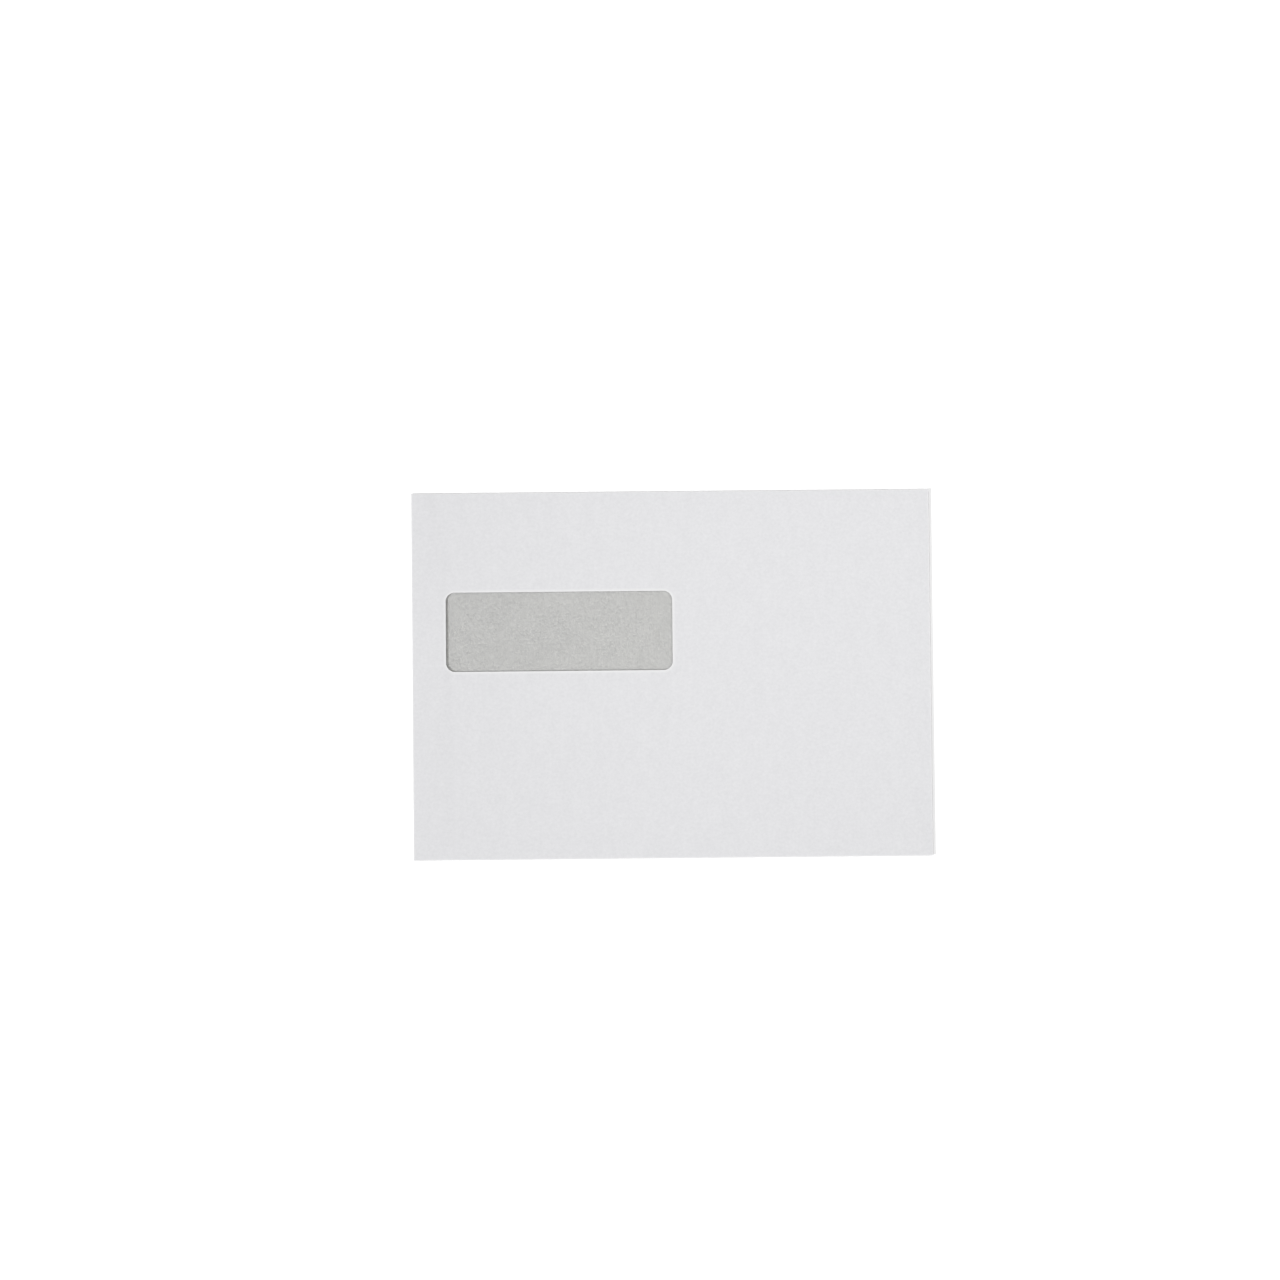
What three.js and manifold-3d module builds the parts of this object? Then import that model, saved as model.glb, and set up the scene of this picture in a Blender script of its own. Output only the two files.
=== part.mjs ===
// A C5 window envelope, empty and folded shut, lying on its back with the window up.
// Units are millimetres. +X runs along the long side to the right as the address is read,
// +Y runs up the address side to the fold of the closing flap, and +Z points up.
// The origin is under the middle of the envelope, on the surface that it lies on.
//
// The paper is one die-cut blank: the address panel, two side flaps folded in from it, the
// closing flap folded over from its top and the back panel folded up from its bottom and
// glued to the side flaps. A film patch is glued behind the window.

import * as THREE from "three";
import { mergeVertices } from "three/addons/utils/BufferGeometryUtils.js";
import Module from "manifold-3d";

// Overall size of the folded envelope and thickness of its two materials
const envelopeWidth = 229;
const envelopeHeight = 162;
const paperThickness = 0.12;
const filmThickness = 0.05;

// Window, placed from the left and the bottom edge of the address side
const windowWidth = 100;
const windowHeight = 35;
const windowFromLeft = 15;
const windowFromBottom = 83;
const windowCornerRadius = 4;
const filmMargin = 6;

// Closing flap: inset at its fold, inset at its free edge, and the round corners between
const flapDepth = 35;
const flapRootInset = 0.3;
const flapTipInset = 6.3;
const flapCornerRadius = 5;

// Back panel: cut narrower than the envelope, with its throat edge below the top fold
const throatDepth = 13.5;
const backInsetLeft = 2.3;
const backInsetRight = 5.3;
const throatCutAcross = 7;
const throatCutDown = 12;

// Side flaps, folded in and glued inside the back panel, with slanted ends
const sideFlapWidth = 13;
const sideFlapTopWidth = 8;
const sideFlapEndWidth = 4;
const sideFlapEndSlant = 5;
const sideFlapEndGap = 1.2;

// Spring of the folds: the free height under the address panel and over the closing flap
const pocketClearance = 0.35;
const flapClearance = 0.25;
const foldReach = 0.35;
const cornerCut = 0.15;

// The back panel lies on the surface and climbs onto the closing flap along this run
const climbRun = 9;
const climbGap = 1;

// How far the glued papers are pressed into each other at the side seams
const glueBite = 0.01;

const foldSteps = 8;
const climbSteps = 8;
const cornerSteps = 8;
const mergeDistance = 1e-5;

// Heights of the layers, from the surface up
const backOverFlap = paperThickness + flapClearance;
const panelInside = backOverFlap + 2 * paperThickness + pocketClearance;
const panelOutside = panelInside + paperThickness;

const halfWidth = envelopeWidth / 2;
const halfHeight = envelopeHeight / 2;
const throatY = halfHeight - throatDepth;
const flapEdgeY = halfHeight - flapDepth;
const climbEndY = flapEdgeY - climbGap;
const climbStartY = climbEndY - climbRun;
const backLeft = -halfWidth + backInsetLeft;
const backRight = halfWidth - backInsetRight;
const flapHalfWidth = halfWidth - flapRootInset;
const windowLeft = -halfWidth + windowFromLeft;
const windowBottom = -halfHeight + windowFromBottom;

const wasm = await Module();
wasm.setup();

const paperMaterial = new THREE.MeshStandardMaterial({
  color: new THREE.Color(0.8, 0.8, 0.82),
  roughness: 0.85,
  metalness: 0,
});
const filmMaterial = new THREE.MeshStandardMaterial({
  color: new THREE.Color(0.55, 0.55, 0.53),
  roughness: 0.2,
  metalness: 0,
  transparent: true,
  opacity: 0.6,
});

// Height of the back panel's outer face at a place along the envelope.
function backHeight(y) {
  const along = THREE.MathUtils.smoothstep(y, climbStartY, climbEndY);
  return backOverFlap * along;
}

// Triangles that fill a flat ring, wound the way the ring runs.
function capFaces(ring) {
  const faces = THREE.ShapeUtils.triangulateShape(ring, []);
  if (THREE.ShapeUtils.isClockWise(ring)) return faces.map(([a, b, c]) => [a, c, b]);
  return faces;
}

// A closed geometry through rings of equal length, capped at both ends.
// flatten gives the two coordinates in which the first and last rings are flat.
function loft(rings, flatten) {
  const size = rings[0].length;
  const positions = rings.flat().flatMap((p) => [p.x, p.y, p.z]);
  const index = [];
  for (let r = 0; r + 1 < rings.length; r++) {
    for (let i = 0; i < size; i++) {
      const a = r * size + i;
      const b = r * size + ((i + 1) % size);
      index.push(a, b, b + size, a, b + size, a + size);
    }
  }
  const last = (rings.length - 1) * size;
  for (const [a, b, c] of capFaces(rings[0].map(flatten))) index.push(a, c, b);
  for (const [a, b, c] of capFaces(rings.at(-1).map(flatten))) {
    index.push(last + a, last + b, last + c);
  }
  const geometry = new THREE.BufferGeometry();
  geometry.setAttribute("position", new THREE.Float32BufferAttribute(positions, 3));
  geometry.setIndex(index);
  return geometry;
}

// Turns a closed geometry into a solid, with its faces pointing out.
function solidOf(geometry) {
  const bare = geometry.clone();
  bare.deleteAttribute("normal");
  bare.deleteAttribute("uv");
  const merged = mergeVertices(bare, mergeDistance);
  const make = (triVerts) =>
    new wasm.Manifold(
      new wasm.Mesh({
        numProp: 3,
        vertProperties: merged.attributes.position.array,
        triVerts,
      }),
    );
  const triVerts = new Uint32Array(merged.index.array);
  const made = make(triVerts);
  return made.volume() > 0 ? made : make(triVerts.reverse());
}

function geometryOf(solid) {
  const mesh = solid.getMesh();
  const geometry = new THREE.BufferGeometry();
  geometry.setAttribute("position", new THREE.BufferAttribute(mesh.vertProperties, 3));
  geometry.setIndex(new THREE.BufferAttribute(mesh.triVerts, 1));
  const faceted = geometry.toNonIndexed();
  faceted.computeVertexNormals();
  return faceted;
}

// Outline of the window, with a round corner at each end of each side.
function windowOpening() {
  const path = new THREE.Path();
  const left = windowLeft + windowCornerRadius;
  const right = windowLeft + windowWidth - windowCornerRadius;
  const low = windowBottom + windowCornerRadius;
  const high = windowBottom + windowHeight - windowCornerRadius;
  const quarter = Math.PI / 2;
  path.absarc(right, low, windowCornerRadius, -quarter, 0, false);
  path.absarc(right, high, windowCornerRadius, 0, quarter, false);
  path.absarc(left, high, windowCornerRadius, quarter, 2 * quarter, false);
  path.absarc(left, low, windowCornerRadius, 2 * quarter, 3 * quarter, false);
  return path;
}

// Address panel: flat between the folds, cut a little short where no fold leaves it.
function addressPanel() {
  const foldX = halfWidth - foldReach;
  const foldY = halfHeight - foldReach;
  const cutX = halfWidth - cornerCut;
  const cutY = halfHeight - cornerCut;
  const sideY = halfHeight - sideFlapEndGap;
  const corners = [
    [backLeft, -foldY],
    [backRight, -foldY],
    [backRight, -cutY],
    [cutX, -cutY],
    [cutX, -sideY],
    [foldX, -sideY],
    [foldX, sideY],
    [cutX, sideY],
    [cutX, cutY],
    [flapHalfWidth, cutY],
    [flapHalfWidth, foldY],
    [-flapHalfWidth, foldY],
    [-flapHalfWidth, cutY],
    [-cutX, cutY],
    [-cutX, sideY],
    [-foldX, sideY],
    [-foldX, -sideY],
    [-cutX, -sideY],
    [-cutX, -cutY],
    [backLeft, -cutY],
  ];
  const outline = new THREE.Shape(corners.map(([x, y]) => new THREE.Vector2(x, y)));
  outline.holes.push(windowOpening());
  const geometry = new THREE.ExtrudeGeometry(outline, {
    depth: paperThickness,
    bevelEnabled: false,
    curveSegments: cornerSteps,
  });
  geometry.translate(0, 0, panelInside);
  return geometry;
}

// Points of a half-turn fold, from the address panel round to a layer below it.
// It reaches out by foldReach, and the layer below has its outer face at lowOutside.
function foldSection(edge, lowOutside) {
  const points = [];
  const middle = (panelOutside + lowOutside) / 2;
  const rise = (panelOutside - lowOutside) / 2;
  for (let i = 0; i <= foldSteps; i++) {
    const turn = (Math.PI * i) / foldSteps;
    const out = Math.sin(turn);
    const up = Math.cos(turn);
    points.push({
      outer: [edge - foldReach + foldReach * out, middle + rise * up],
      inner: [
        edge - foldReach + (foldReach - paperThickness) * out,
        middle + (rise - paperThickness) * up,
      ],
    });
  }
  return points;
}

// A strip of paper that follows stations in Y and Z, each with its own reach in X.
function strip(stations) {
  const rings = stations.map(({ outer, inner, left, right }) => [
    new THREE.Vector3(left, ...outer),
    new THREE.Vector3(right, ...outer),
    new THREE.Vector3(right, ...inner),
    new THREE.Vector3(left, ...inner),
  ]);
  // The end rings stand upright, so X and Z flatten them.
  return loft(rings, (p) => new THREE.Vector2(p.x, p.z));
}

// Closing flap: over the top fold and down the back, narrowing to its free edge.
function closingFlap() {
  const stations = foldSection(halfHeight, 0).map((p) => ({
    ...p,
    left: -flapHalfWidth,
    right: flapHalfWidth,
  }));
  const taper = (flapTipInset - flapRootInset) / flapDepth;
  const slant = Math.atan(taper);
  const flatStation = (y, reach) => ({
    outer: [y, 0],
    inner: [y, paperThickness],
    left: -reach,
    right: reach,
  });
  // The round corner touches the slanted side and the straight free edge.
  const centreY = flapEdgeY + flapCornerRadius;
  const sideReach = (y) => flapHalfWidth - taper * (halfHeight - y);
  const centreX = sideReach(centreY) - flapCornerRadius / Math.cos(slant);
  for (let i = 0; i <= cornerSteps; i++) {
    const turn = -slant - ((Math.PI / 2 - slant) * i) / cornerSteps;
    const y = centreY + flapCornerRadius * Math.sin(turn);
    stations.push(flatStation(y, centreX + flapCornerRadius * Math.cos(turn)));
  }
  return strip(stations);
}

// Back panel: round the bottom fold, flat on the surface, then up onto the closing flap.
function backPanel() {
  const stations = foldSection(halfHeight, 0).map(({ outer, inner }) => ({
    outer: [-outer[0], outer[1]],
    inner: [-inner[0], inner[1]],
    left: backLeft,
    right: backRight,
  }));
  const flatStation = (y, cut) => ({
    outer: [y, backHeight(y)],
    inner: [y, backHeight(y) + paperThickness],
    left: backLeft + cut,
    right: backRight - cut,
  });
  for (let i = 0; i <= climbSteps; i++) {
    stations.push(flatStation(climbStartY + (climbRun * i) / climbSteps, 0));
  }
  stations.push(flatStation(throatY - throatCutDown, 0));
  stations.push(flatStation(throatY, throatCutAcross));
  return strip(stations);
}

// Width of a side flap at a place along the envelope, between its slanted ends.
function sideFlapWidthAt(y) {
  const end = halfHeight - sideFlapEndGap;
  const lerp = THREE.MathUtils.mapLinear;
  if (y < -end + sideFlapEndSlant) {
    return lerp(y, -end, -end + sideFlapEndSlant, sideFlapEndWidth, sideFlapWidth);
  }
  if (y > end - sideFlapEndSlant) {
    return lerp(y, end - sideFlapEndSlant, end, sideFlapTopWidth, sideFlapEndWidth);
  }
  if (y > climbEndY) {
    return lerp(y, climbEndY, end - sideFlapEndSlant, sideFlapWidth, sideFlapTopWidth);
  }
  return sideFlapWidth;
}

// Right side flap: round its fold and inwards, lying on the inner face of the back panel.
function sideFlap() {
  const end = halfHeight - sideFlapEndGap;
  const places = [-end, -end + sideFlapEndSlant];
  for (let i = 0; i <= climbSteps; i++) {
    places.push(climbStartY + (climbRun * i) / climbSteps);
  }
  places.push(end - sideFlapEndSlant, end);
  const rings = places.map((y) => {
    const low = backHeight(y) + paperThickness - glueBite;
    const section = foldSection(halfWidth, low);
    const tip = halfWidth - sideFlapWidthAt(y);
    section.push({ outer: [tip, low], inner: [tip, low + paperThickness] });
    const outer = section.map(({ outer: [x, z] }) => new THREE.Vector3(x, y, z));
    const inner = section.map(({ inner: [x, z] }) => new THREE.Vector3(x, y, z));
    return [...outer, ...inner.reverse()];
  });
  return loft(rings, (p) => new THREE.Vector2(p.x, p.z));
}

function windowFilm() {
  const geometry = new THREE.BoxGeometry(
    windowWidth + 2 * filmMargin,
    windowHeight + 2 * filmMargin,
    filmThickness,
  );
  geometry.translate(
    windowLeft + windowWidth / 2,
    windowBottom + windowHeight / 2,
    panelInside - filmThickness / 2,
  );
  return geometry;
}

// The whole blank, folded and glued: one sheet of paper.
function foldedPaper() {
  const rightSide = sideFlap();
  const leftSide = rightSide.clone().scale(-1, 1, 1);
  return [closingFlap(), backPanel(), rightSide, leftSide]
    .map(solidOf)
    .reduce((joined, piece) => joined.add(piece), solidOf(addressPanel()));
}

const envelope = new THREE.Group();
envelope.name = "window_envelope";

const paper = new THREE.Mesh(geometryOf(foldedPaper()), paperMaterial);
paper.name = "envelope_paper";
envelope.add(paper);

const film = new THREE.Mesh(windowFilm(), filmMaterial);
film.name = "window_film";
envelope.add(film);

export default envelope;
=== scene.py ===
import math

import bmesh
import bpy
from mathutils import Euler, Matrix, Vector, noise


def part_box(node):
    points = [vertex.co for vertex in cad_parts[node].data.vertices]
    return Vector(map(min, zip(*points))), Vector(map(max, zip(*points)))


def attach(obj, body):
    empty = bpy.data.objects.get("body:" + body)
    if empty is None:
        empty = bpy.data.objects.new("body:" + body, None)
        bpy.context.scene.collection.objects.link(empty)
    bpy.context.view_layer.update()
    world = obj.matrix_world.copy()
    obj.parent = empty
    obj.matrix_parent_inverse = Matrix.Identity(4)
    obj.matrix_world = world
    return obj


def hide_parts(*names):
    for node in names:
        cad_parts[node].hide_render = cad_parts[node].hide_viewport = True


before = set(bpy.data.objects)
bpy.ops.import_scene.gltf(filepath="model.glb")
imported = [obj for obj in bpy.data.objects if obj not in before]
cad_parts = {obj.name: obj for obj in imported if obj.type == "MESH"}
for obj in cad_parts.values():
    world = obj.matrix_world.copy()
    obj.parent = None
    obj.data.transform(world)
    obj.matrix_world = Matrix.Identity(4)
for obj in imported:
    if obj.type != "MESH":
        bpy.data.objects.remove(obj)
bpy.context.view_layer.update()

# The shapes below are worked out in millimetres, and their meshes are made in metres.
metres_per_mm = 0.001

# Overall sizes, taken from the solids
paper_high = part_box("envelope_paper")[1] / metres_per_mm
film_low, film_high = (corner / metres_per_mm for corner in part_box("window_film"))
half_width = paper_high.x
half_height = paper_high.y
panel_outside = paper_high.z
paper_thickness = 0.12
panel_inside = panel_outside - paper_thickness
film_thickness = film_high.z - film_low.z

# Window
film_margin = 6.0
window_radius = 4.0
window_left = film_low.x + film_margin
window_right = film_high.x - film_margin
window_bottom = film_low.y + film_margin
window_top = film_high.y - film_margin

# Closing flap, whose free edge curls in a little
flap_depth = 35.0
flap_root_inset = 0.3
flap_tip_inset = 6.3
flap_radius = 5.0
flap_curl = 0.06
flap_curl_width = 4.0
flap_edge_y = half_height - flap_depth
flap_half_width = half_width - flap_root_inset
flap_taper = (flap_tip_inset - flap_root_inset) / flap_depth

# Back panel, which climbs onto the closing flap
throat_depth = 13.5
back_inset_left = 2.3
back_inset_right = 5.3
throat_cut_across = 7.0
throat_cut_down = 12.0
climb_run = 10.0
climb_past_flap_edge = 4.0
flap_clearance = 0.25
throat_y = half_height - throat_depth
back_left = -half_width + back_inset_left
back_right = half_width - back_inset_right
climb_end_y = flap_edge_y + climb_past_flap_edge
climb_start_y = climb_end_y - climb_run
back_over_flap = paper_thickness + flap_clearance

# Side flaps, which narrow from their taper's start up to their top slant
side_width = 13.0
side_top_width = 8.0
side_end_width = 4.0
side_end_slant = 5.0
side_end_gap = 0.9
side_taper_gap = 1.0
side_end_y = half_height - side_end_gap
side_taper_y = flap_edge_y - side_taper_gap
seam_gap = 0.01

# Folds, and the panel's cut edges at the corners, which no fold leaves
fold_reach = 0.2
cut_inset = 0.06
fold_x = half_width - fold_reach
fold_y = half_height - fold_reach
cut_x = half_width - cut_inset
cut_y = half_height - cut_inset

# Spacing of the mesh
cell = 1.7
film_cell = 0.4
fold_steps = 10
climb_steps = 12
corner_steps = 6
flap_corner_steps = 4 * corner_steps
corner_rings = (0.25, 0.55, 1.0)
edge_lines = (0.35, 0.7, 1.4)
tolerance = 1e-6
sharp_edge = math.radians(40)

# Relief of the paper, always inwards from the flat outer face
border_dip = 0.036
border_dip_reach = 3.5
left_seam_dip = 0.12
right_seam_dip = 0.02
back_seam_dip_share = 0.4
seam_dip_width = 5.0
throat_dip = 0.015
throat_dip_width = 4.0
dip_overlap = 1.0

# Slow waves of the paper
wave_dip = 0.026
wave_length = 38.0
slow_wave_share = 0.6
quick_wave_share = 0.25
quick_waves_per_slow = 2.3
quick_wave_seed = 9
back_wave_share = 0.6
back_wave_seed = 20.0

# Painted highlight on the paper round the window and at the folds, and painted shade on the film
# along the window's edge
window_highlight_width = 1.2
fold_highlight_width = 0.8
film_edge_shade_width = 0.9

# Patterns, whose scales below count their cells per mm. Most of a noise's values lie in this range.
noise_range = (0.3, 0.7)

# Look of the paper, each pair from thin to dense
paper_outer = ((0.738, 0.738, 0.754), (0.834, 0.834, 0.849))
paper_inner = ((0.65, 0.65, 0.664), (0.92, 0.92, 0.937))
# Painted highlight round the window and over the folds: its colour, and how much of the paper's own
# colour it takes over
painted_highlight_colour = (0.92, 0.92, 0.92)
painted_highlight_share = 0.85
paper_tone_range = (0.45, 1.25)
paper_roughness = (0.78, 0.9)
paper_specular = 0.35
cloud_scale = (0.2, 0.1, 0.2)
cloud_share = 0.3
flock_scale = 0.75
grain_scale = 4.0
grain_share = 0.4
fibre_across_scale = (0.9, 5.0, 5.0)
fibre_along_scale = (5.0, 0.9, 5.0)
fibre_grain_share = 0.8
fibre_depth = 0.012
fibre_strength = 0.27

# Look of the film, each pair from its clear to its hazy places
film_mass = ((0.14, 0.14, 0.12), (0.78, 0.78, 0.7))
# Painted shade on the film along the window's edge, just inside the paper's cut edge
painted_edge_shade_colour = (0.06, 0.06, 0.05)
film_tone_range = (0.355, 0.735)
film_roughness = (0.12, 0.2)
film_specular = 0.8
film_alpha = 0.18
haze_scale = 0.05
haze_share = 0.06
speck_scale = 1.2
# Painted light: how much lighter the film gets towards the window's right side
painted_light_across_share = 0.03
ripple_squeeze = (0.5, 1.0, 1.0)
ripple_scale = 0.08
ripple_depth = 0.3
ripple_strength = 0.25

# Camera, placed in metres and fitted to the corners of the envelope and its window in the photograph
camera_place = Vector((-0.0202, -0.0161, 1.0988))
camera_turn = Euler([math.radians(angle) for angle in (1.643, -0.314, -0.558)])
camera_lens = 70.0
camera_sensor = 36.0

# Light: its colour, and each source's share of what a level white surface sends back
white = (1.0, 1.0, 1.0, 1.0)
key_share = 0.53
fill_share = 0.15
top_share = 0.214
sky_share = 0.13

# Floor, in metres, which glows more away from the object, so that it ends in plain white
floor_colour = (0.8, 0.8, 0.8, 1.0)
floor_size = 4.0
floor_clearance = 0.02 * metres_per_mm
floor_glow = 0.42
floor_glow_start = 0.3
floor_glow_end = 1.3


def smooth_step(value, low, high):
    """0 below low, 1 above high, and a smooth rise between them."""
    t = min(max((value - low) / (high - low), 0.0), 1.0)
    return t * t * (3 - 2 * t)


def blend_between(value, low, high, at_low, at_high):
    """The straight line from at_low to at_high as value goes from low to high."""
    t = min(max((value - low) / (high - low), 0.0), 1.0)
    return at_low + (at_high - at_low) * t


def side_flap_width(y):
    """Width of a side flap at a place along the envelope, between its slanted ends."""
    if y < 0:
        slant_end = -side_end_y + side_end_slant
        return blend_between(y, -side_end_y, slant_end, side_end_width, side_width)
    slant_start = side_end_y - side_end_slant
    if y > slant_start:
        return blend_between(y, slant_start, side_end_y, side_top_width, side_end_width)
    return blend_between(y, side_taper_y, slant_start, side_width, side_top_width)


def flap_reach(y):
    """Half the width of the closing flap between its slanted sides."""
    return flap_half_width - flap_taper * (half_height - y)


def seam_dip(x, y):
    """How far a panel sinks between the side flaps, smooth at their inner edges."""
    inner_edge = half_width - side_flap_width(y)
    between = 1 - smooth_step(abs(x), inner_edge - seam_dip_width, inner_edge + dip_overlap)
    depth = blend_between(x, -half_width / 2, half_width / 2, left_seam_dip, right_seam_dip)
    return between * depth


def window_distance(x, y):
    """Distance from the window's rounded outline, below 0 inside it."""
    dx = abs(x - (window_left + window_right) / 2) - (window_right - window_left) / 2
    dy = abs(y - (window_bottom + window_top) / 2) - (window_top - window_bottom) / 2
    past = math.hypot(max(dx + window_radius, 0.0), max(dy + window_radius, 0.0))
    inside = min(max(dx, dy) + window_radius, 0.0)
    return past + inside - window_radius


def near_edge(distance, width):
    """1 where distance is 0 or less, falling to 0 at width."""
    return max(1 - max(distance, 0.0) / width, 0.0)


def waves(x, y, seed):
    """Slow waves of a sheet that has been stored flat, from 0 to 1."""
    u = x / wave_length
    v = y / wave_length
    slow = noise.noise(Vector((u, v, seed)))
    quick_place = (u * quick_waves_per_slow, v * quick_waves_per_slow, seed + quick_wave_seed)
    quick = noise.noise(Vector(quick_place))
    return min(max(0.5 + slow_wave_share * slow + quick_wave_share * quick, 0.0), 1.0)


def address_dip(x, y):
    """How far the address panel lies below its flat outer face."""
    border = min(half_width - abs(x), half_height - abs(y))
    dip = border_dip * math.exp(-max(border, 0.0) / border_dip_reach)
    dip += seam_dip(x, y)
    dip += throat_dip * (1 - smooth_step(y, throat_y - throat_dip_width, throat_y + dip_overlap))
    return dip + wave_dip * waves(x, y, 0.0)


def back_height(y):
    """Height of the back panel's outer face where it lies and where it climbs."""
    return back_over_flap * smooth_step(y, climb_start_y, climb_end_y)


def back_dip(x, y):
    """How far the back panel is pressed in from its outer face, away from the floor."""
    wave = wave_dip * back_wave_share * waves(x, y, back_wave_seed)
    return back_seam_dip_share * seam_dip(x, y) + wave


def lines(stops, step):
    """The stops, with evenly spaced values between them, no further apart than step."""
    stops = sorted(stops)
    found = [stops[0]]
    for low, high in zip(stops, stops[1:]):
        count = max(1, math.ceil((high - low) / step - tolerance))
        found += [low + (high - low) * (i + 1) / count for i in range(count)]
    return found


class Sheet:
    """A sheet as pairs of points, one on each face, joined by cells."""

    def __init__(self):
        self.outer = []
        self.inner = []
        self.painted_light_and_shade_weights = []
        self.cells = []

    def add(self, outer, inner, rim=0.0):
        """A pair of points, with the weight, 1 at most, of the highlight or shade painted on the
        outer face there.
        """
        self.outer.append(Vector(outer))
        self.inner.append(Vector(inner))
        self.painted_light_and_shade_weights.append(rim)
        return len(self.outer) - 1

    def cell(self, *corners):
        """A cell between three or four points. A corner named twice is dropped."""
        self.cells.append(tuple(dict.fromkeys(corners)))

    def join(self, near, far):
        """Cells between two rows of points."""
        for a, b, c, d in zip(near, near[1:], far[1:], far):
            self.cell(a, b, c, d)

    def mesh(self, name):
        """A closed mesh in metres: both faces, and a wall along each free edge."""
        count = len(self.outer)
        points = [p * metres_per_mm for p in self.outer + self.inner]
        faces = list(self.cells)
        faces += [tuple(i + count for i in reversed(c)) for c in self.cells]
        uses = {}
        for c in self.cells:
            for a, b in zip(c, c[1:] + c[:1]):
                uses.setdefault(frozenset((a, b)), []).append((a, b))
        for found in uses.values():
            if len(found) == 1:
                a, b = found[0]
                faces.append((b, a, a + count, b + count))
        mesh = bpy.data.meshes.new(name)
        mesh.from_pydata(points, [], faces)
        # Each point's weight of painted highlight on the paper or painted shade on the film, on the
        # outer face only.
        rim = mesh.attributes.new("rim", "FLOAT", "POINT")
        rim.data.foreach_set("value", self.painted_light_and_shade_weights + [0.0] * count)
        inside = mesh.attributes.new("inside", "FLOAT", "POINT")
        inside.data.foreach_set("value", [0.0] * count + [1.0] * count)
        return mesh


def add_piece(mesh, name):
    """An object of the model from a closed mesh, smooth apart from its cut edges."""
    work = bmesh.new()
    work.from_mesh(mesh)
    bmesh.ops.recalc_face_normals(work, faces=work.faces)
    work.to_mesh(mesh)
    work.free()
    mesh.shade_smooth()
    mesh.set_sharp_from_angle(angle=sharp_edge)
    piece = bpy.data.objects.new(name, mesh)
    bpy.context.scene.collection.objects.link(piece)
    return piece


def panel_lines():
    """Lines across the address panel, through all that starts or ends on it."""
    across = [-cut_x, -flap_half_width, -fold_x, back_left, back_right]
    across += [fold_x, flap_half_width, cut_x]
    across += [fold_highlight_width - half_width, half_width - fold_highlight_width]
    up = [-cut_y, -fold_y, -side_end_y, side_end_y, fold_y, cut_y]
    up += [fold_highlight_width - half_height, half_height - fold_highlight_width]
    step = window_radius / corner_steps
    for low, high, found in ((window_left, window_right, across), (window_bottom, window_top, up)):
        for edge, into in ((low, 1), (high, -1)):
            found += [edge + into * step * i for i in range(corner_steps + 1)]
            found += [edge - into * distance for distance in edge_lines]
    return lines(across, cell), lines(up, cell)


def address_point(sheet, x, y):
    """A point of the address panel, sunk by its relief, with a painted highlight near the window and
    near the folds.
    """
    z = panel_outside - address_dip(x, y)
    # Painted highlight, strongest at the window's cut edge and at the folds.
    rim = near_edge(window_distance(x, y), window_highlight_width)
    rim += near_edge(min(half_width - abs(x), half_height - abs(y)), fold_highlight_width)
    return sheet.add((x, y, z), (x, y, z - paper_thickness), rim)


def in_address_panel(x, y):
    """True for a cell, given by its middle, that is paper on the address side."""
    if window_left < x < window_right and window_bottom < y < window_top:
        return False
    if abs(x) > fold_x and abs(y) < side_end_y:
        return False
    if y > fold_y:
        return abs(x) > flap_half_width
    if y < -fold_y:
        return not back_left < x < back_right
    return True


def window_corner(sheet, points, xs, ys, into_x, into_y):
    """Fills the paper between a corner of the window's box and its round corner."""
    corner_x = window_left if into_x > 0 else window_right
    corner_y = window_bottom if into_y > 0 else window_top
    step = window_radius / corner_steps
    sides = [(corner_x, corner_y + into_y * step * i) for i in range(corner_steps, 0, -1)]
    sides.append((corner_x, corner_y))
    sides += [(corner_x + into_x * step * i, corner_y) for i in range(1, corner_steps + 1)]
    row = []
    for x, y in sides:
        i = min(range(len(xs)), key=lambda k: abs(xs[k] - x))
        j = min(range(len(ys)), key=lambda k: abs(ys[k] - y))
        row.append(points[i, j])
    centre = Vector((corner_x + into_x * window_radius, corner_y + into_y * window_radius))
    last = len(sides) - 1
    for share in corner_rings:
        ring = [row[0]]
        for k in range(1, last):
            turn = math.pi / 2 * k / last
            on_arc = centre - window_radius * Vector(
                (into_x * math.cos(turn), into_y * math.sin(turn))
            )
            place = Vector(sides[k]).lerp(on_arc, share)
            ring.append(address_point(sheet, place.x, place.y))
        ring.append(row[-1])
        sheet.join(row, ring)
        row = ring


def address_panel(sheet):
    """The flat panel with its window. Returns its points along each fold."""
    xs, ys = panel_lines()
    points = {}
    for i, x in enumerate(xs[:-1]):
        for j, y in enumerate(ys[:-1]):
            if not in_address_panel((x + xs[i + 1]) / 2, (y + ys[j + 1]) / 2):
                continue
            corners = ((i, j), (i + 1, j), (i + 1, j + 1), (i, j + 1))
            for k, m in corners:
                if (k, m) not in points:
                    points[k, m] = address_point(sheet, xs[k], ys[m])
            sheet.cell(*(points[corner] for corner in corners))
    for into_x in (1, -1):
        for into_y in (1, -1):
            window_corner(sheet, points, xs, ys, into_x, into_y)

    def line_at(places, wanted):
        return next(k for k, found in enumerate(places) if abs(found - wanted) < tolerance)

    def along_x(y, low, high):
        j = line_at(ys, y)
        within = (i for i, x in enumerate(xs) if low - tolerance < x < high + tolerance)
        return [points[i, j] for i in within]

    def along_y(x):
        i = line_at(xs, x)
        within = (j for j, y in enumerate(ys) if abs(y) < side_end_y + tolerance)
        return [points[i, j] for j in within]

    return {
        "top": along_x(fold_y, -flap_half_width, flap_half_width),
        "bottom": along_x(-fold_y, back_left, back_right),
        "left": along_y(-fold_x),
        "right": along_y(fold_x),
    }


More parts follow.
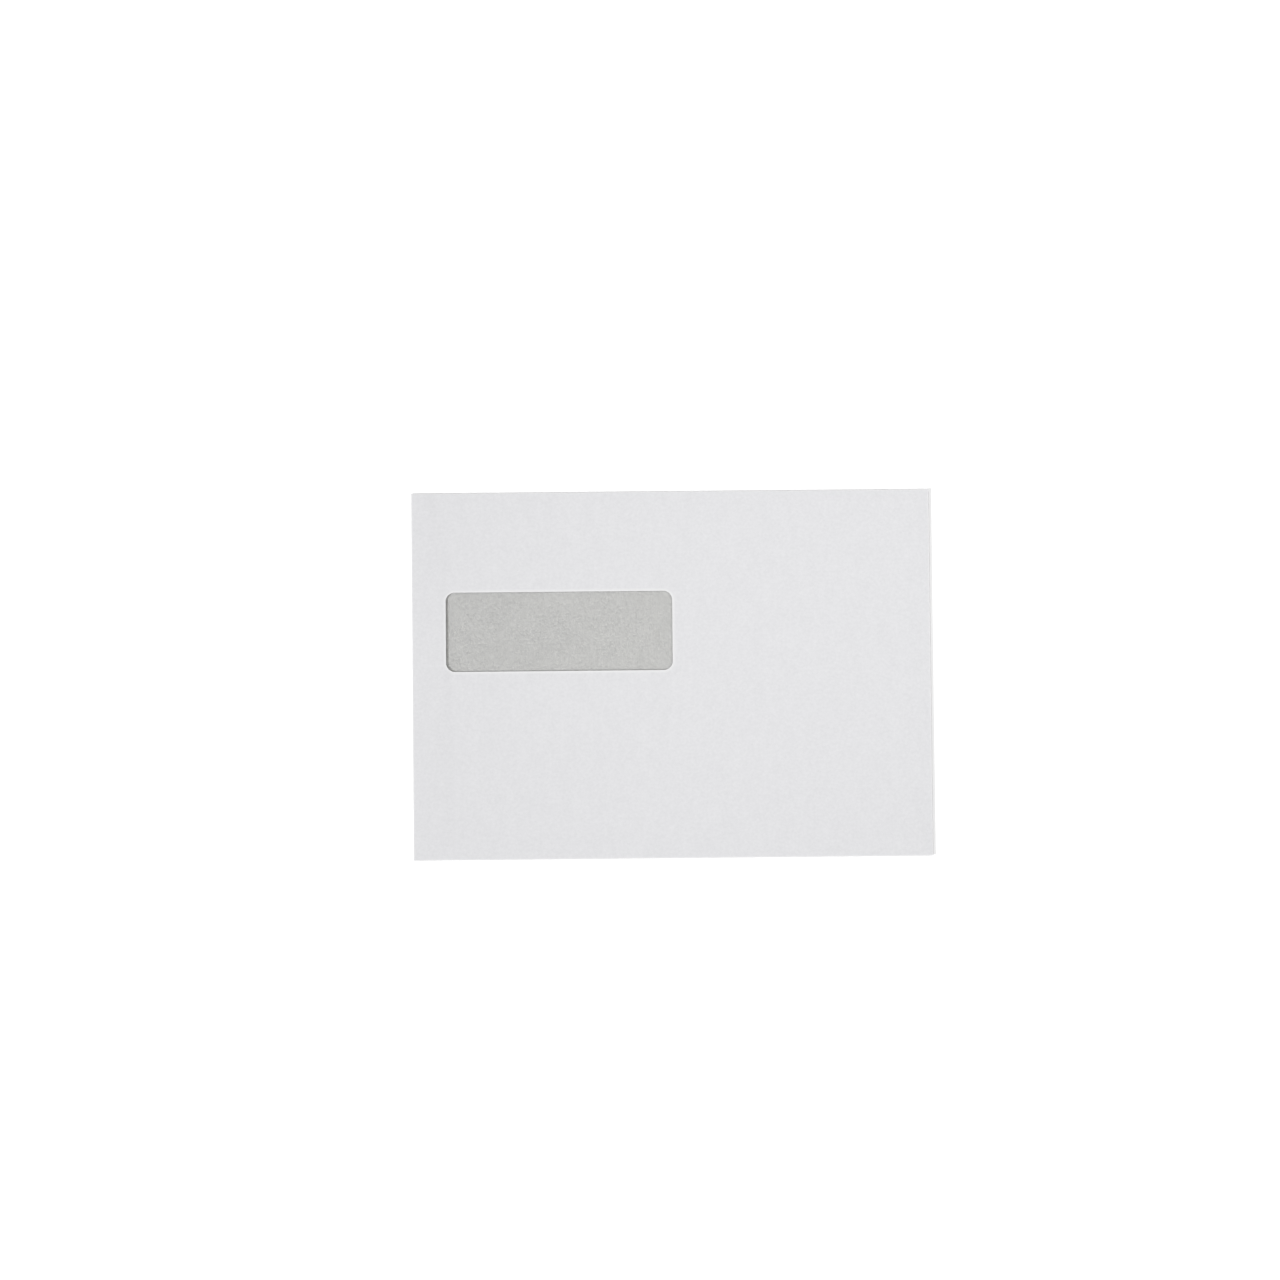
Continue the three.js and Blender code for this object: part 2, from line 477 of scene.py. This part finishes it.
def fold_rows(sheet, row, out, height_below):
    """Turns a row of points half round a fold. out points away from the panel."""
    out = Vector(out)
    for step in range(1, fold_steps + 1):
        turn = math.pi * step / fold_steps
        next_row = []
        for index in row:
            top = sheet.outer[index]
            low = height_below(top)
            middle = (top.z + low) / 2
            rise = (top.z - low) / 2
            foot = Vector((top.x, top.y, middle))
            up = Vector((0, 0, math.cos(turn)))
            away = out * math.sin(turn)
            outer = foot + away * fold_reach + up * rise
            inner = foot + away * (fold_reach - paper_thickness) + up * (rise - paper_thickness)
            # Every point of the fold carries the full painted highlight, which lightens its shaded
            # side.
            next_row.append(sheet.add(outer, inner, rim=1.0))
        yield next_row


def add_fold(sheet, row, out, height_below):
    """Adds a half-turn fold to a row of points and returns its last row."""
    last = row
    for next_row in fold_rows(sheet, row, out, height_below):
        sheet.join(last, next_row)
        last = next_row
    return last


def closing_flap(sheet, row):
    """The flap over the back, narrowing to a straight edge with round corners."""
    row = add_fold(sheet, row, (0, 1, 0), lambda top: 0.0)
    slant = math.atan(flap_taper)
    centre_y = flap_edge_y + flap_radius
    centre_x = flap_reach(centre_y) - flap_radius / math.cos(slant)
    round_start_y = centre_y - flap_radius * math.sin(slant)
    places = [(y, flap_reach(y)) for y in reversed(lines([round_start_y, fold_y], cell)[:-1])]
    for step in range(1, flap_corner_steps + 1):
        turn = slant + (math.pi / 2 - slant) * step / flap_corner_steps
        reach = centre_x + flap_radius * math.cos(turn)
        places.append((centre_y - flap_radius * math.sin(turn), reach))
    shares = [sheet.outer[index].x / flap_half_width for index in row]
    for y, reach in places:
        z = flap_curl * (1 - smooth_step(y, flap_edge_y, flap_edge_y + flap_curl_width))
        next_row = [
            sheet.add((share * reach, y, z), (share * reach, y, z + paper_thickness))
            for share in shares
        ]
        sheet.join(row, next_row)
        row = next_row


def back_panel(sheet, row):
    """The panel glued over the side flaps, from the bottom fold up to its throat edge."""
    row = add_fold(sheet, row, (0, -1, 0), lambda top: back_dip(top.x, top.y))
    cut_start_y = throat_y - throat_cut_down
    places = lines([-fold_y, climb_start_y], cell)[1:]
    places += lines([climb_start_y, climb_end_y], climb_run / climb_steps)[1:]
    places += lines([climb_end_y, cut_start_y, throat_y], cell)[1:]
    starts = [sheet.outer[index].x for index in row]
    for y in places:
        cut = blend_between(y, cut_start_y, throat_y, 0.0, throat_cut_across)
        next_row = []
        for start in starts:
            x = blend_between(start, back_left, back_right, back_left + cut, back_right - cut)
            z = back_height(y) + back_dip(x, y)
            next_row.append(sheet.add((x, y, z), (x, y, z + paper_thickness)))
        sheet.join(row, next_row)
        row = next_row


def side_flap(sheet, row, side):
    """A side flap, folded in and lying on the inner face of the back panel."""

    def height(x, y):
        return back_height(y) + back_dip(x, y) + paper_thickness + seam_gap

    row = add_fold(sheet, row, (side, 0, 0), lambda top: height(top.x, top.y))
    steps = math.ceil(side_width / cell)
    starts = [sheet.outer[index] for index in row]
    for step in range(1, steps + 1):
        next_row = []
        for start in starts:
            tip = side * (half_width - side_flap_width(start.y))
            x = start.x + (tip - start.x) * step / steps
            z = height(x, start.y)
            next_row.append(sheet.add((x, start.y, z), (x, start.y, z + paper_thickness)))
        sheet.join(row, next_row)
        row = next_row


def folded_paper():
    """The whole blank, folded: one sheet from the address panel out to every edge."""
    sheet = Sheet()
    folds = address_panel(sheet)
    closing_flap(sheet, folds["top"])
    back_panel(sheet, folds["bottom"])
    side_flap(sheet, folds["left"], -1)
    side_flap(sheet, folds["right"], 1)
    return add_piece(sheet.mesh("paper"), "paper")


def film_lines(low, near, far, high):
    """Lines across the film, closer together where the window's edges bend."""
    stretches = (
        (low, near, cell),
        (near, near + window_radius, film_cell),
        (near + window_radius, far - window_radius, cell),
        (far - window_radius, far, film_cell),
        (far, high, cell),
    )
    found = [low]
    for start, end, step in stretches:
        found += lines([start, end], step)[1:]
    return found


def window_film():
    """The film behind the window, following the inner face of the address panel."""
    sheet = Sheet()
    rows = []
    for y in film_lines(film_low.y, window_bottom, window_top, film_high.y):
        row = []
        for x in film_lines(film_low.x, window_left, window_right, film_high.x):
            z = panel_inside - address_dip(x, y) - seam_gap
            # Painted shade along the window's edge, strongest right at the edge, where the paper's
            # cut edge shades the film
            rim = near_edge(-window_distance(x, y), film_edge_shade_width)
            row.append(sheet.add((x, y, z), (x, y, z - film_thickness), rim))
        rows.append(row)
    for near, far in zip(rows, rows[1:]):
        sheet.join(near, far)
    return add_piece(sheet.mesh("film"), "film")


class Nodes:
    """A material's node tree with short calls to add nodes and links."""

    def __init__(self, name):
        self.material = bpy.data.materials.new(name)
        self.material.use_nodes = True
        self.tree = self.material.node_tree
        self.shader = self.tree.nodes["Principled BSDF"]

    def add(self, kind, **sockets):
        """A new node, with numbers on its named sockets."""
        node = self.tree.nodes.new(kind)
        for name, value in sockets.items():
            node.inputs[name].default_value = value
        return node

    def link(self, output, socket):
        self.tree.links.new(output, socket)

    def millimetres(self, scale=(1.0, 1.0, 1.0)):
        """Object coordinates counted in millimetres, times scale."""
        place = self.add("ShaderNodeTexCoord")
        mapping = self.add("ShaderNodeMapping")
        mapping.inputs["Scale"].default_value = [s / metres_per_mm for s in scale]
        self.link(place.outputs["Object"], mapping.inputs["Vector"])
        return mapping.outputs["Vector"]

    def place_along(self, axis):
        """One object coordinate counted in millimetres."""
        node = self.add("ShaderNodeSeparateXYZ")
        self.link(self.millimetres(), node.inputs["Vector"])
        return node.outputs[axis]

    def noise(self, vector, scale, detail, roughness=0.5):
        """A cloudy pattern, mostly within noise_range."""
        node = self.add("ShaderNodeTexNoise", Scale=scale, Detail=detail, Roughness=roughness)
        self.link(vector, node.inputs["Vector"])
        return node.outputs["Fac"]

    def span(self, value, low, high, at_low=0.0, at_high=1.0):
        """From at_low to at_high as value goes from low to high."""
        node = self.add("ShaderNodeMapRange")
        node.inputs["From Min"].default_value = low
        node.inputs["From Max"].default_value = high
        node.inputs["To Min"].default_value = at_low
        node.inputs["To Max"].default_value = at_high
        self.link(value, node.inputs["Value"])
        return node.outputs["Result"]

    def measure(self, name):
        """A number that the mesh carries at its points."""
        node = self.add("ShaderNodeAttribute")
        node.attribute_name = name
        return node.outputs["Fac"]

    def colours(self, factor, low, high):
        """From low to high. Each is three numbers or another node's colour."""
        node = self.add("ShaderNodeMix")
        node.data_type = "RGBA"
        sockets = [s for s in node.inputs if s.type == "RGBA"]
        for socket, colour in zip(sockets, (low, high)):
            if isinstance(colour, tuple):
                socket.default_value = (*colour, 1.0)
            else:
                self.link(colour, socket)
        self.link(factor, node.inputs["Factor"])
        return next(s for s in node.outputs if s.type == "RGBA")

    def sum(self, first, second, share):
        """first plus share times second."""
        node = self.add("ShaderNodeMath")
        node.operation = "MULTIPLY_ADD"
        self.link(second, node.inputs[0])
        node.inputs[1].default_value = share
        self.link(first, node.inputs[2])
        return node.outputs["Value"]

    def product(self, first, second):
        """first times second."""
        node = self.add("ShaderNodeMath")
        node.operation = "MULTIPLY"
        self.link(first, node.inputs[0])
        self.link(second, node.inputs[1])
        return node.outputs["Value"]

    def bump(self, height, depth_mm, strength):
        """Fine relief on the material's own shader."""
        node = self.add("ShaderNodeBump", Strength=strength)
        node.inputs["Distance"].default_value = depth_mm * metres_per_mm
        self.link(height, node.inputs["Height"])
        self.link(node.outputs["Normal"], self.shader.inputs["Normal"])


def paper_material():
    """White uncoated paper: cloudy in its mass, more so on its inner face, with fine fibres, and a
    painted highlight round the window and on the folds.
    """
    nodes = Nodes("paper")
    cloud = nodes.noise(nodes.millimetres(cloud_scale), 1.0, detail=3.0)
    flock = nodes.noise(nodes.millimetres(), flock_scale, detail=3.0, roughness=0.6)
    grain = nodes.noise(nodes.millimetres(), grain_scale, detail=4.0, roughness=0.65)
    fibre_across = nodes.noise(nodes.millimetres(fibre_across_scale), 1.0, detail=3.0)
    fibre_along = nodes.noise(nodes.millimetres(fibre_along_scale), 1.0, detail=3.0)
    fibres = nodes.sum(fibre_across, fibre_along, 1.0)
    tone = nodes.sum(nodes.sum(flock, cloud, cloud_share), grain, grain_share)
    density = nodes.span(tone, *paper_tone_range)
    outer = nodes.colours(density, *paper_outer)
    inner = nodes.colours(density, *paper_inner)
    mass = nodes.colours(nodes.measure("inside"), outer, inner)
    # Painted highlight mixed into the colour round the window and on the folds.
    rim = nodes.span(nodes.measure("rim"), 0.0, 1.0, at_high=painted_highlight_share)
    colour = nodes.colours(rim, mass, painted_highlight_colour)
    nodes.link(colour, nodes.shader.inputs["Base Color"])
    roughness = nodes.span(grain, *noise_range, *paper_roughness)
    nodes.link(roughness, nodes.shader.inputs["Roughness"])
    nodes.bump(nodes.sum(fibres, grain, fibre_grain_share), fibre_depth, fibre_strength)
    nodes.shader.inputs["Specular IOR Level"].default_value = paper_specular
    return nodes.material


def film_material():
    """Thin clear film with a slight grey haze, fine specks and long soft ripples, painted lighter
    towards the right and with painted shade along the window's edge.
    """
    nodes = Nodes("window_film")
    haze = nodes.noise(nodes.millimetres(), haze_scale, detail=2.0)
    specks = nodes.noise(nodes.millimetres(), speck_scale, detail=3.0, roughness=0.6)
    ripple = nodes.noise(nodes.millimetres(ripple_squeeze), ripple_scale, detail=2.0)
    # Painted light, lighter towards the window's right side
    across = nodes.span(nodes.place_along("X"), window_left, window_right)
    tone = nodes.sum(nodes.sum(specks, haze, haze_share), across, painted_light_across_share)
    mass = nodes.colours(nodes.span(tone, *film_tone_range), *film_mass)
    # Painted shade mixed into the film's colour along the window's edge
    colour = nodes.colours(nodes.measure("rim"), mass, painted_edge_shade_colour)
    nodes.link(colour, nodes.shader.inputs["Base Color"])
    roughness = nodes.span(specks, *noise_range, *film_roughness)
    nodes.link(roughness, nodes.shader.inputs["Roughness"])
    nodes.bump(ripple, ripple_depth, ripple_strength)
    nodes.shader.inputs["Alpha"].default_value = film_alpha
    nodes.shader.inputs["Specular IOR Level"].default_value = film_specular
    return nodes.material


def light_path_is_view(tree):
    """1 for what the camera, a gloss or a clear surface sees, and 0 for other light."""
    path = tree.nodes.new("ShaderNodeLightPath")
    total = path.outputs["Is Camera Ray"]
    for name in ("Is Glossy Ray", "Is Transmission Ray"):
        node = tree.nodes.new("ShaderNodeMath")
        node.operation = "MAXIMUM"
        tree.links.new(total, node.inputs[0])
        tree.links.new(path.outputs[name], node.inputs[1])
        total = node.outputs["Value"]
    return total


def floor_material():
    """Pale and dull, with a glow that is seen but lights nothing."""
    nodes = Nodes("floor")
    nodes.shader.inputs["Base Color"].default_value = floor_colour
    nodes.shader.inputs["Roughness"].default_value = 1.0
    nodes.shader.inputs["Specular IOR Level"].default_value = 0.0
    nodes.shader.inputs["Emission Color"].default_value = white
    place = nodes.add("ShaderNodeTexCoord")
    from_middle = nodes.add("ShaderNodeVectorMath")
    from_middle.operation = "LENGTH"
    nodes.link(place.outputs["Object"], from_middle.inputs[0])
    distance = from_middle.outputs["Value"]
    glow = nodes.span(distance, floor_glow_start, floor_glow_end, at_low=floor_glow)
    seen_glow = nodes.product(light_path_is_view(nodes.tree), glow)
    nodes.link(seen_glow, nodes.shader.inputs["Emission Strength"])
    return nodes.material


def make_floor():
    """A plain pale floor that shows as white and keeps the shadow."""
    reach = floor_size / 2
    sides = ((-reach, -reach), (reach, -reach), (reach, reach), (-reach, reach))
    mesh = bpy.data.meshes.new("floor")
    mesh.from_pydata([(x, y, -floor_clearance) for x, y in sides], [], [(0, 1, 2, 3)])
    mesh.materials.append(floor_material())
    floor = bpy.data.objects.new("floor", mesh)
    bpy.context.scene.collection.objects.link(floor)


def make_sky():
    """Even white light from all round, which shows as plain white."""
    world = bpy.data.worlds.new("studio")
    bpy.context.scene.world = world
    world.use_nodes = True
    tree = world.node_tree
    background = tree.nodes["Background"]
    background.inputs["Color"].default_value = white
    strength = tree.nodes.new("ShaderNodeMapRange")
    strength.inputs["To Min"].default_value = sky_share
    strength.inputs["To Max"].default_value = 1.0
    tree.links.new(light_path_is_view(tree), strength.inputs["Value"])
    tree.links.new(strength.outputs["Result"], background.inputs["Strength"])


def make_lamp(name, bearing, elevation, distance, size, share):
    """A square soft lamp that gives a level surface at the origin its share of light."""
    around = math.radians(bearing)
    above = math.radians(elevation)
    towards = Vector(
        (math.cos(above) * math.cos(around), math.cos(above) * math.sin(around), math.sin(above))
    )
    data = bpy.data.lights.new(name, "AREA")
    data.size = size
    data.energy = share * math.pi**2 * distance**2 / math.sin(above)
    lamp = bpy.data.objects.new(name, data)
    lamp.location = towards * distance
    lamp.rotation_euler = towards.to_track_quat("Z", "Y").to_euler()
    lamp.visible_camera = False
    lamp.visible_glossy = False
    bpy.context.scene.collection.objects.link(lamp)


def make_camera():
    """The photograph's view, nearly straight down."""
    data = bpy.data.cameras.new("camera")
    data.lens = camera_lens
    data.sensor_width = camera_sensor
    camera = bpy.data.objects.new("camera", data)
    camera.matrix_world = Matrix.LocRotScale(camera_place, camera_turn, None)
    bpy.context.scene.collection.objects.link(camera)
    bpy.context.scene.camera = camera


make_camera()
make_floor()
make_sky()
make_lamp("key", bearing=200, elevation=36, distance=6.0, size=0.7, share=key_share)
make_lamp("fill", bearing=24, elevation=50, distance=0.68, size=0.2, share=fill_share)
make_lamp("top", bearing=90, elevation=88, distance=0.47, size=0.3, share=top_share)

paper = folded_paper()
paper.data.materials.append(paper_material())
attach(paper, "root")
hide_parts("envelope_paper")

film = window_film()
film.data.materials.append(film_material())
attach(film, "root")
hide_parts("window_film")

bpy.context.scene.view_settings.view_transform = "Standard"
